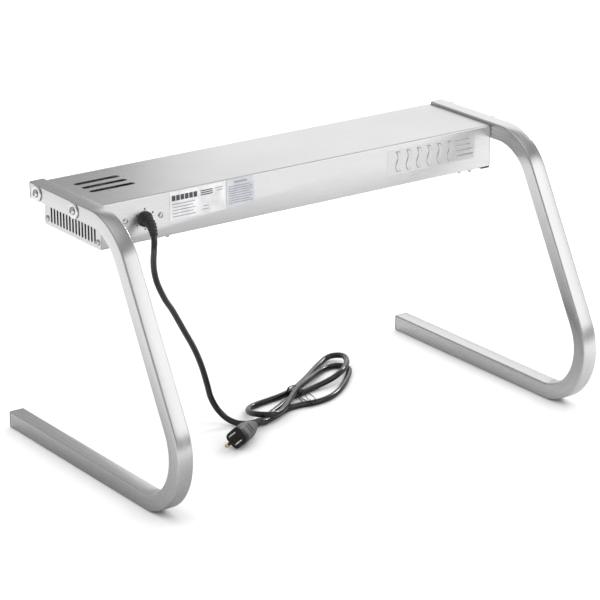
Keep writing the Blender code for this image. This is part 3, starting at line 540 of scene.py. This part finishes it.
def plug():
    """Grip, dark front, ribbed neck, pressed finger lines, two blades and a round earth pin."""
    front = [(-0.2, 10.6, 11.2, 5.8), (0.0, 11.2, 11.8, 6.2), (-0.5, 11.7, 12.3, 6.6),
             (-1.4, 11.9, 12.5, 6.8), (-7.6, 11.9, 12.5, 6.9)]
    nose = surface("plug_front", on_plug(plug_rings(front)), PLUG_DARK, wrap=True, ends=True)
    grip = [(-7.7, 11.3, 11.9, 6.6), (-8.0, 11.9, 12.5, 6.9), (-16.0, 12.0, 12.6, 7.0),
            (-24.0, 11.9, 12.5, 7.0), (-31.0, 11.1, 11.7, 6.6), (-39.0, 9.8, 10.4, 6.1),
            (-48.0, 7.9, 8.4, 5.6), (-56.5, 6.2, 6.6, 5.3), (-57.4, 5.9, 6.2, 5.2),
            (-PLUG_BODY, 5.3, 5.5, 5.1)]
    body = surface("plug_grip", on_plug(plug_rings(grip, 8)), PLUG_RUBBER, wrap=True, ends=True,
                   sharp=50)
    along = np.linspace(0, 1, 56)
    rib = 0.55 * (0.5 - 0.5 * np.cos(along * 2 * math.pi * 6.0))
    size = 5.05 - 0.75 * along + rib
    neck = [(-PLUG_BODY + 0.2 - (PLUG_NECK_END - PLUG_BODY + 0.2) * t, r, r, r * 0.98)
            for t, r in zip(along, size)]
    neck = surface("plug_neck", on_plug(plug_rings(neck, 7)), PLUG_DARK, wrap=True, ends=True)
    lines = []
    for x in (-19.5, -26.5):
        for side in (1.0, -1.0):
            bar = rounded_rectangle(1.15, 6.2, 1.1, 4)
            depth = np.array([-0.6, 0.18, 0.3])[:, None]
            inset = np.array([1.0, 1.0, 0.8])[:, None]
            grid = np.stack([x + bar[None, :, 0] * inset + 0 * depth,
                             bar[None, :, 1] * inset + 0 * depth,
                             side * (12.5 + depth + 0 * bar[None, :, 0])], -1)
            lines.append(surface("line", on_plug(grid), PLUG_DARK, wrap=True, ends=True))
    carried(nose, "black_plastic")
    carried(body, "plug_grey", "plug_body")
    carried(neck, "black_plastic")
    carried(joined("plug_finger_lines", lines), "black_plastic")
    pieces = [nose, body, neck, bpy.data.objects["plug_finger_lines"]]
    for side, y in (("line", 6.35), ("neutral", -6.35)):
        pieces.append(plug_blade(side, y))
    pieces.append(earth_pin())
    return pieces


def plug_blade(side, y):
    """A flat blade with a chamfered tip, a plate of two equal outlines."""
    outline = np.array([(0.0, -3.17), (14.6, -3.17), (17.5, -1.9), (17.5, 1.9), (14.6, 3.17),
                        (0.0, 3.17)])
    thick = np.array([-0.75, 0.75])[:, None]
    grid = np.stack([outline[None, :, 0] + 0 * thick, y + thick + 0 * outline[None, :, 0],
                     4.0 + outline[None, :, 1] + 0 * thick], -1)
    blade = surface(f"plug_blade_{side}_plated", on_plug(grid), PLATED_PRONG, wrap=True, ends=True)
    return carried(blade, "brass", f"plug_blade_{side}")


PIN_RADIUS, PIN_LENGTH, PIN_ROOT = 2.4, 21.4, (0.0, 0.0, -7.9)


def earth_pin():
    """A round pin with a ball nose."""
    nose = np.linspace(0, math.pi / 2, 7)
    ball = [(PIN_RADIUS * math.sin(a), PIN_LENGTH - PIN_RADIUS + PIN_RADIUS * math.cos(a))
            for a in nose]
    profile = ball + [(PIN_RADIUS, 0.0), (0.0, 0.0)]
    pin = turned("plug_earth_pin", profile, on_plug(PIN_ROOT), PLUG_AXES[0], BRASS, 24)
    return carried(pin, "brass", "plug_ground_pin")


# ---- outlet -------------------------------------------------------------------------------------


OUTLET_X, OUTLET_Z = 239.8, 323.8
COLLAR = [(4.4, 4.6), (7.4, 4.6), (8.2, 4.2), (8.5, 3.2), (9.5, 2.9), (10.0, 2.3), (10.0, 0.3),
          (9.7, 0.0), (8.1, 0.0), (8.1, -8.4), (4.4, -8.4)]  # radius and height over the wall
SLEEVE_LENGTH, SLEEVE_RIBBED = 30.0, 27.0
SLEEVE_ROOT, SLEEVE_NARROWS = 8.0, 3.1  # radius at the wall and what it loses
RIB_HEIGHT, RIB_PITCH = 0.45, 4.0


def strain_relief():
    """The outlet's round collar in the wall and the ribbed sleeve that droops with the cord."""
    ring = turned("collar", COLLAR, (OUTLET_X, WALL_Y + 0.2, OUTLET_Z), (0, 1, 0), GLAND_PLASTIC,
                  40, True)
    run = smooth_line([(OUTLET_X, WALL_Y + 1.0, OUTLET_Z + 0.1)] + HANGING_CORD[:4], 0.5)
    reach = np.concatenate([[0], np.cumsum(np.linalg.norm(np.diff(run, axis=0), axis=1))])
    run, reach = run[reach < SLEEVE_LENGTH], reach[reach < SLEEVE_LENGTH]
    taper = SLEEVE_ROOT - SLEEVE_NARROWS * (reach / reach[-1]) ** 0.8
    rib = RIB_HEIGHT * np.cos(reach * 2 * math.pi / RIB_PITCH)
    radius = taper + np.where(reach < SLEEVE_RIBBED, rib, 0.0)
    sleeve = round_bar("sleeve", run, radius, GLAND_PLASTIC, 28)
    return carried(joined("cord_strain_relief", [ring, sleeve]), "black_plastic", "strain_relief")


TIE = twist_tie()
PLUG_PIECES = plug()
RELIEF = strain_relief()


# ---- legs ---------------------------------------------------------------------------------------

TUBE, TUBE_WALL, TUBE_CORNER = 22.2, 1.5, 2.2
LEG_TOP = 355.9
LEG_X = 315.6
LEG_SLOPE = math.radians(61.35)
BEND_RADIUS = 74.0
UPPER_CORNER_Y, UPPER_END_Y, LOWER_END_Y = 125.9, -62.0, -140.0
GRAIN_SHIFT = 700.0  # along the right tube, so that the two tubes' streaks differ
BOLT_YS = (-45.0, 44.0)
BOLT_HEAD, BOLT_SHANK = 5.2, 3.17  # radii
WASHER = [(3.6, 1.7), (9.6, 1.7), (10.4, 1.35), (10.75, 0.8), (10.75, 0.2), (10.5, 0.0),
          (3.6, 0.0)]
WASHER_GAP, WASHER_SEAT = 0.3, 2.0  # clear of the tube, and from its own face to the head's
HOUSING_END, SHEET, NUT_REACH = 304.2, 1.2, 6.0
SOCKET = [(0.0, 1.1), (2.35, 1.1), (2.45, 2.6)]
CAP_RINGS = ((0.2, -0.3), (0.0, -0.5), (0.0, -1.5), (0.25, -2.05), (1.0, -2.3))  # inset, y


def leg_line():
    """The tube's middle line in the YZ plane: three straights joined by two arcs."""
    high, low = LEG_TOP - TUBE / 2, TUBE / 2
    foot_y = UPPER_CORNER_Y + (high - low) / math.tan(LEG_SLOPE)
    corners = np.array([(UPPER_END_Y, high), (UPPER_CORNER_Y, high), (foot_y, low),
                        (LOWER_END_Y, low)])
    line = [corners[:1]]
    for before, corner, after in zip(corners, corners[1:], corners[2:]):
        into, out = unit(corner - before), unit(after - corner)
        turning = math.acos(into @ out)
        way = math.copysign(1.0, into[0] * out[1] - into[1] * out[0])
        inward = way * np.array([-into[1], into[0]])
        start = corner - into * BEND_RADIUS * math.tan(turning / 2)
        angle = np.linspace(0, turning, 33)[:, None]
        line.append(start + BEND_RADIUS * (into * np.sin(angle) + inward * (1 - np.cos(angle))))
    line.append(corners[-1:])
    line = np.vstack(line)
    reach = np.concatenate([[0], np.cumsum(np.linalg.norm(np.diff(line, axis=0), axis=1))])
    extra = np.arange(20.0, reach[-1], 40.0)
    wanted = np.unique(np.concatenate([reach, extra]).round(4))
    return np.stack([np.interp(wanted, reach, line[:, k]) for k in (0, 1)], -1), wanted


def leg(side, x):
    """A bent square tube: its outer outline carried down the line and its inner one back up."""
    line, reach = leg_line()
    tangent = unit(np.gradient(line, axis=0))
    normal = np.stack([tangent[:, 1], -tangent[:, 0]], -1)
    half = TUBE / 2
    skins = []
    for inset in (0.0, TUBE_WALL):
        outline = rounded_rectangle(half - inset, half - inset, TUBE_CORNER - inset * 0.9, 4)
        yz = line[:, None] + normal[:, None] * outline[None, :, 1:]
        xs = np.broadcast_to(x + outline[None, :, :1], (len(line), len(outline), 1))
        skins.append(np.concatenate([xs, yz], -1))
    grid = np.concatenate([skins[0], skins[1][::-1]])
    outline = rounded_rectangle(half, half, TUBE_CORNER, 4)
    steps = np.linalg.norm(np.diff(np.vstack([outline, outline[:1]]), axis=0), axis=1)
    around = np.concatenate([[0], np.cumsum(steps)])
    along = np.concatenate([reach, reach[::-1], reach[:1]])
    tube = surface(f"leg_{side}_tube", grid, TUBE_STEEL, wrap=True, ring=True,
                   uv=(along + GRAIN_SHIFT * (side == "right"), around))
    return carried(tube, "steel", f"leg_{side}")


def leg_bolt(side, number, x_sign, y):
    """A thick washer with eased edges under a low domed head with a socket."""
    z = LEG_TOP - TUBE / 2
    face = x_sign * (LEG_X + TUBE / 2 + WASHER_GAP)
    seat = face + x_sign * WASHER_SEAT
    way = (x_sign, 0, 0)
    washer = turned(f"washer_{side}_{number}", WASHER, (face, y, z), way, ZINC, 48, True)
    carried(washer, "screws", f"leg_washer_{side}_{number}")
    rise = np.linspace(math.asin(0.52), math.pi / 2, 9)
    dome = [(BOLT_HEAD * math.sin(a), 0.5 + 2.7 * math.cos(a)) for a in rise]
    shank = abs(seat) - (HOUSING_END - SHEET - 0.3) + NUT_REACH
    profile = SOCKET + dome + [(BOLT_HEAD, 0.15), (5.0, 0.0), (BOLT_SHANK, 0.0),
                               (BOLT_SHANK, -shank), (0.0, -shank)]
    head = turned(f"bolt_{side}_{number}", profile, (seat, y, z), way, ZINC, 40)
    carried(head, "screws", f"leg_bolt_{side}_{number}")


def end_cap(node, x, y, z):
    """The black cap of a tube: a pillow whose outline shrinks towards its rounded face."""
    grid = []
    for inset, shift in CAP_RINGS:
        outline = rounded_rectangle(TUBE / 2 - inset, TUBE / 2 - inset, TUBE_CORNER, 5)
        grid.append(np.column_stack([x + outline[:, 0], np.full(len(outline), y + shift),
                                     z + outline[:, 1]]))
    cap = surface(f"{node}_moulded", grid, CAP_PLASTIC, wrap=True, ends=True, sharp=60)
    return carried(cap, "black_plastic", node)


for side, x_sign in (("left", 1), ("right", -1)):
    leg(side, x_sign * LEG_X)
    end_cap(f"cap_upper_{side}", x_sign * LEG_X, UPPER_END_Y, LEG_TOP - TUBE / 2)
    end_cap(f"cap_lower_{side}", x_sign * LEG_X, LOWER_END_Y, TUBE / 2)
    for number, y in enumerate(BOLT_YS, 1):
        leg_bolt(side, number, x_sign, y)


# ---- housing ------------------------------------------------------------------------------------

for node, width in (("housing_shell", 0.35), ("control_bay_cover", 0.3), ("far_bay_cover", 0.3)):
    carried(refined(node, SHEET_STEEL, width), "steel", node)
for node in ("end_plate_vented", "end_plate_plain"):
    carried(refined(node, CROSS_STEEL, 0.3), "steel", node)
carried(refined("reflector", MIRROR_STEEL, 0.2), "reflector", "reflector")


HEAD_RINGS = 26  # over a screw's dome


def pan_screw(node, seat, axis, head, tall, shank, length, turn=0.0):
    """A pan-head screw with a cross recess.

    The head's height over radius r and angle is a flattened dome, less a recess where the
    distance to either arm of the cross is small and r is within the recess.
    """
    radius = np.concatenate([np.linspace(0, head / 2, HEAD_RINGS),
                             [head / 2, shank / 2, shank / 2, 0.0]])
    angle = np.linspace(0, 2 * math.pi, 64, endpoint=False)
    r, a = np.meshgrid(radius, angle, indexing="ij")
    dome = tall * (1 - (2 * r / head) ** 3.2) ** 0.55
    x, y = np.abs(r * np.cos(a + turn)), np.abs(r * np.sin(a + turn))
    arm = np.clip((head * 0.075 - np.minimum(x, y)) / (head * 0.04) + 0.5, 0, 1)
    deep = np.clip((head * 0.27 - r) / (head * 0.05), 0, 1)
    height = dome - tall * 0.55 * arm * deep
    height[HEAD_RINGS:] = np.array([0.0, 0.0, -length, -length])[:, None]
    local = np.stack([r * np.cos(a), r * np.sin(a), height], -1)
    grid = np.asarray(seat, float) + local @ axes_of(axis)
    screw = surface(f"{node}_cross_head", grid, ZINC, wrap=True, sharp=40)
    return carried(screw, "screws", node)


# After the seat and the axis: head width, head height, shank width, length and turn.
for number, (x, z) in enumerate(((268.0, 326.0), (216.6, 324.5)), 1):
    pan_screw(f"back_screw_{number}", (x, WALL_Y + 0.1, z), (0, 1, 0), 7.6, 2.2, 3.5, 7.0, 0.6)
for side, x_sign in (("vented", 1), ("plain", -1)):
    for number, y in enumerate((-61.0, 61.0), 1):
        pan_screw(f"end_screw_{side}_{number}", (x_sign * 304.4, y, 304.0), (x_sign, 0, 0),
                  7.8, 2.2, 3.5, 8.0, 0.3)
for number, x in enumerate((221.4, 203.8, -257.6, -275.3)):
    under = LAMP_UNDER - (1.4 if number in (0, 3) else 0.1)
    pan_screw(f"edge_screw_{number + 1}", (x, 60.5, under), (0, 0, -1), 6.6, 3.8, 3.5, 5.8, 0.2)


def closed_plate(name, face, back, material):
    """Two equal grids closed round their rim, as one loop of rows that runs over and back."""
    rows = [np.concatenate([face[k], back[k][::-1]]) for k in range(len(face))]
    return surface(name, rows, material, wrap=True, ends=True, sharp=40)


BADGE_X, BADGE_Z = (-277.0, -132.0), (312.0, 345.0)
WAVES, WAVE_START, WAVE_PITCH = 6, -150.0, 17.0
WAVE_LEAN, WAVE_SWING = 0.22, 3.4
WAVE_HALF, WAVE_TALL = 2.3, 13.6  # half width and half height
BARS, BAR_START, BAR_PITCH, BAR_HALF = 4, 318.0, 7.0, 1.5
BADGE_SHEET, BADGE_RELIEF, BADGE_FLANK = 0.12, 1.1, 1.1


def badge():
    """A raised heat-wave emblem: bars whose middle lines are sine waves, then four level bars.

    The height over the wall is a smooth step of the distance to the nearest bar's edge.
    """
    bottom, top = BADGE_Z
    middle_z = (bottom + top) / 2
    xs, zs = np.meshgrid(np.linspace(*BADGE_X, 420), np.linspace(bottom, top, 110), indexing="ij")
    near = np.full_like(xs, 9.0)
    for number in range(WAVES):
        middle = WAVE_START - WAVE_PITCH * number
        swing = WAVE_SWING * np.sin((zs - bottom) / (top - bottom) * 2 * math.pi)
        lean = middle + (zs - middle_z) * WAVE_LEAN + swing
        edge = np.maximum(np.abs(xs - lean) * 0.93 - WAVE_HALF,
                          np.abs(zs - middle_z) - WAVE_TALL)
        near = np.minimum(near, edge)
    for number in range(BARS):
        level = BAR_START + BAR_PITCH * number
        start, stop = -274.0 + 2.2 * number, -247.0 + 1.4 * number
        edge = np.maximum(np.abs(zs - level) - BAR_HALF,
                          np.abs(xs - (start + stop) / 2) - (stop - start) / 2)
        near = np.minimum(near, edge)
    rise = np.clip(0.5 - near / BADGE_FLANK, 0, 1)
    height = BADGE_SHEET + BADGE_RELIEF * rise * rise * (3 - 2 * rise)
    face = np.stack([xs, WALL_Y + height, zs], -1)
    back = np.stack([xs, np.full_like(xs, WALL_Y + 0.02), zs], -1)
    return closed_plate("heat_wave_badge", face, back, BADGE_STEEL)


carried(badge(), "steel", "badge_panel")


# ---- labels -------------------------------------------------------------------------------------

LABEL_FILM = moulded("label_film", (0.80, 0.80, 0.81), 0.34, stipple=200.0, depth=0.02)
NOTICE_FILM = moulded("notice_film", (0.62, 0.62, 0.68), 0.36, stipple=200.0, depth=0.02)
LABEL_INK = moulded("label_ink", (0.06, 0.06, 0.065), 0.5, stipple=400.0, depth=0.02)
PALE_INK = moulded("pale_ink", (0.36, 0.36, 0.40), 0.5, stipple=400.0, depth=0.02)
FILM_LIFT, FILM_THICK, FILM_CORNER = 0.05, 0.25, 1.5
INK_LIFT, INK_THICK, INK_CORNER = 0.31, 0.04, 0.2


def wall_plate(name, low, high, lift, thick, corner, material):
    """A thin rounded rectangle that stands off the corded wall, between two corners in x and z."""
    (x0, z0), (x1, z1) = low, high
    outline = rounded_rectangle((x1 - x0) / 2, (z1 - z0) / 2, corner, 4)
    y = WALL_Y + lift + np.array([0.0, thick])[:, None]
    grid = np.stack([(x0 + x1) / 2 + outline[None, :, 0] + 0 * y, y + 0 * outline[None, :, 0],
                     (z0 + z1) / 2 + outline[None, :, 1] + 0 * y], -1)
    return surface(name, grid, material, wrap=True, ends=True)


def printed_bars(name, bars, material):
    """Plain bars and boxes that stand for print, each given by two corners in x and z."""
    plates = [wall_plate("bar", low, high, INK_LIFT, INK_THICK, INK_CORNER, material)
              for low, high in bars]
    return carried(joined(name, plates), "label")


def labels():
    """The rating plate and the notice beside it, with plain bars in place of their lettering."""
    rating = wall_plate("rating_plate", (121.2, 314.5), (203.5, 351.0), FILM_LIFT, FILM_THICK,
                        FILM_CORNER, LABEL_FILM)
    carried(rating, "label", "rating_label")
    notice = wall_plate("notice_plate", (77.3, 317.0), (118.9, 351.6), FILM_LIFT, FILM_THICK,
                        FILM_CORNER, NOTICE_FILM)
    carried(notice, "label", "notice_label")
    header = [((163.0 + 6.4 * k, 339.0), (168.4 + 6.4 * k, 346.0)) for k in range(6)]
    header += [((140.0, 339.0 + 2.6 * k), (158.0, 340.4 + 2.6 * k)) for k in range(3)]
    printed_bars("label_header", header, LABEL_INK)
    rows = [((166.0 + 3.0 * (k % 2), 318.0 + 4.0 * k), (200.0, 319.2 + 4.0 * k)) for k in range(5)]
    rows += [((125.0, 341.0), (134.0, 342.2)), ((125.0, 344.4), (136.0, 345.6)),
             ((146.0, 320.0), (156.0, 321.2)), ((146.0, 324.0), (154.0, 325.2))]
    printed_bars("label_rows", rows, PALE_INK)
    lines = [((80.0 + 4.0 * (k % 3 == 1), 320.0 + 3.1 * k), (116.4, 321.1 + 3.1 * k))
             for k in range(8)]
    lines.append(((88.0, 346.0), (108.0, 348.4)))
    printed_bars("notice_rows", lines, PALE_INK)


labels()


# ---- lamp ---------------------------------------------------------------------------------------


GUARD_WIRES = 18
ELEMENT_ROD, ELEMENT_PIN, ELEMENT_SHOULDER = 4.25, 2.2, 9.0  # radii, and the pin's length


def wire_guard():
    """Round cross wires welded to two round rails, under the element."""
    low, high = (np.array(corner) / MM - [0, MIDDLE_Y, 0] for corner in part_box("wire_guard"))
    radius = (high[2] - low[2]) / 2
    z = (low[2] + high[2]) / 2
    edge = high[1] - radius
    wires = []
    for y in (-edge, edge):
        wires.append(round_bar("wire", [(low[0], y, z), (0.0, y, z), (high[0], y, z)], radius,
                               GUARD_WIRE, 12))
    for x in np.linspace(low[0] + radius, high[0] - radius, GUARD_WIRES):
        wires.append(round_bar("wire", [(x, -edge, z), (x, 0.0, z), (x, edge, z)], radius * 0.98,
                               GUARD_WIRE, 10))
    return carried(joined("guard_wires", wires), "screws", "wire_guard")


def element():
    """A sheathed element with a stepped terminal at each end, in the sheath's finish."""
    low, high = (np.array(corner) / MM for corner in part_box("heating_element"))
    z = (low[2] + high[2]) / 2
    length = high[0] - low[0]
    half = [(0.0, 0.0), (ELEMENT_PIN, 0.0), (ELEMENT_PIN, -ELEMENT_SHOULDER),
            (ELEMENT_ROD, -ELEMENT_SHOULDER - 0.6)]
    profile = half + [(radius, -length - height) for radius, height in reversed(half)]
    rod = turned("sheathed_element", profile, (high[0], 0.0, z), (1, 0, 0), SHEATH, 32)
    return carried(rod, "sheath", "heating_element")


def recoat(material, *nodes):
    """Gives CAD pieces that stay a finished material."""
    for node in nodes:
        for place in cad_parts[node].material_slots:
            place.material = material


wire_guard()
element()
carried(refined("switch_body", SWITCH_PLASTIC, 0.4), "black_plastic", "switch_body")
carried(refined("switch_rocker", SWITCH_PLASTIC, 0.5), "black_plastic", "switch_rocker",
        body="rocker")
recoat(CROSS_STEEL, "bulkhead_control", "bulkhead_far")
recoat(CERAMIC, "element_bush_control", "element_bush_far", "terminal_block")
recoat(FIBRE, "insulation")
recoat(ORANGE, "lead_orange")
recoat(WHITE_LEAD, "lead_white", "lead_return")
recoat(GREEN_LEAD, "lead_earth")
recoat(BRASS, "earth_stud")
recoat(ZINC, *(f"leg_nut_{side}_{number}" for side in ("left", "right") for number in (1, 2)))


# ---- surroundings -------------------------------------------------------------------------------


FLOOR_WHITE, FLOOR_NEAR, FLOOR_FAR = 0.93, 0.42, 1.0
FLOOR_SHADE_X = 0.1  # metres, the middle of the shade
FLOOR_SHADE = (0.22, 0.80)  # metres from that middle
FLOOR_REACH = 14000.0


def floor():
    """A wide pale floor, white to the camera and shaded near the lamp to every other ray.

    The shade keeps the steel from mirroring an all-white floor. Its grey rises from FLOOR_NEAR
    to FLOOR_FAR with the distance from a point under the lamp.
    """
    made, tree, shader = new_material("pale_floor")
    where = add(tree, "Mapping", {"Vector": add(tree, "TexCoord").outputs["Object"],
                                  "Location": (-FLOOR_SHADE_X, 0.0, 0.0)}).outputs["Vector"]
    reach = add(tree, "VectorMath", {0: where}, operation="LENGTH").outputs["Value"]
    tone = spread(tree, reach, FLOOR_NEAR, FLOOR_FAR, *FLOOR_SHADE)
    seen = add(tree, "Math", {0: add(tree, "LightPath").outputs["Is Camera Ray"],
                              1: FLOOR_WHITE}, operation="MULTIPLY").outputs["Value"]
    pale = add(tree, "Math", {0: seen, 1: tone}, operation="MAXIMUM").outputs["Value"]
    tree.links.new(pale, shader.inputs["Base Color"])
    shader.inputs["Roughness"].default_value = 0.9
    shader.inputs["Specular IOR Level"].default_value = 0.1
    near, far = -FLOOR_REACH, FLOOR_REACH
    grid = [[(near, near, 0.0), (near, far, 0.0)], [(far, near, 0.0), (far, far, 0.0)]]
    surface("floor", grid, made)


def soft_box(name, place, aim, size, radiance, mirrored):
    """A rectangular light at a place, turned to an aim, of an even radiance over its face."""
    data = bpy.data.lights.new(name, "AREA")
    data.shape, data.size, data.size_y = "RECTANGLE", size[0] * MM, size[1] * MM
    data.energy = radiance * data.size * data.size_y * math.pi
    light = bpy.data.objects.new(name, data)
    bpy.context.scene.collection.objects.link(light)
    back = unit(np.asarray(place, float) - aim)
    right = unit(np.cross(UP, back))
    pose = np.eye(4)
    pose[:3, :3] = np.stack([right, np.cross(back, right), back], -1)
    pose[:3, 3] = placed(place)
    light.matrix_world = Matrix(pose.tolist())
    light.visible_glossy = mirrored


SKY = ((0.0, 0.50), (0.30, 0.44), (0.52, 0.62), (0.74, 0.27), (1.0, 0.32))  # rise and grey
# Each soft box: name, place, aim, size, radiance, and whether the steel mirrors it.
SOFT_BOXES = (
    ("front_soft_box", (-1300.0, -1200.0, 1000.0), (-250.0, 0.0, 300.0), (1300.0, 1300.0), 0.85,
     True),
    ("back_soft_box", (-950.0, 1450.0, 1050.0), (0.0, 100.0, 200.0), (1600.0, 1000.0), 1.2, True),
    ("key_soft_box", (-2150.0, -650.0, 1350.0), (0.0, 50.0, 50.0), (380.0, 380.0), 26.0, True),
    ("ceiling_fill", (0.0, 0.0, 4000.0), (0.0, 1.0, 0.0), (12000.0, 12000.0), 0.95, False),
)


def surroundings():
    """Soft boxes in a grey studio that the camera itself sees as white."""
    scene = bpy.context.scene
    scene.view_settings.view_transform = "Standard"
    world = bpy.data.worlds.new("studio")
    world.use_nodes = True
    scene.world = world
    tree = world.node_tree
    outward = add(tree, "TexCoord").outputs["Generated"]
    rise = add(tree, "SeparateXYZ", {"Vector": outward}).outputs["Z"]
    ramp = add(tree, "ValToRGB", {"Fac": rise})
    for place, tone in SKY:
        stop = ramp.color_ramp.elements.new(place)
        stop.color = (tone, tone, tone, 1.0)
    # a new ramp comes with a black and a white stop of its own
    for spare in [stop for stop in ramp.color_ramp.elements if stop.color[0] in (0.0, 1.0)]:
        ramp.color_ramp.elements.remove(spare)
    seen = add(tree, "LightPath").outputs["Is Camera Ray"]
    shade = add(tree, "Math", {0: ramp.outputs["Color"], 1: seen}, operation="MAXIMUM")
    tree.links.new(shade.outputs["Value"], tree.nodes["Background"].inputs["Color"])
    tree.nodes["Background"].inputs["Strength"].default_value = 1.0
    for name, place, aim, size, radiance, mirrored in SOFT_BOXES:
        soft_box(name, place, aim, size, radiance, mirrored)


floor()
surroundings()
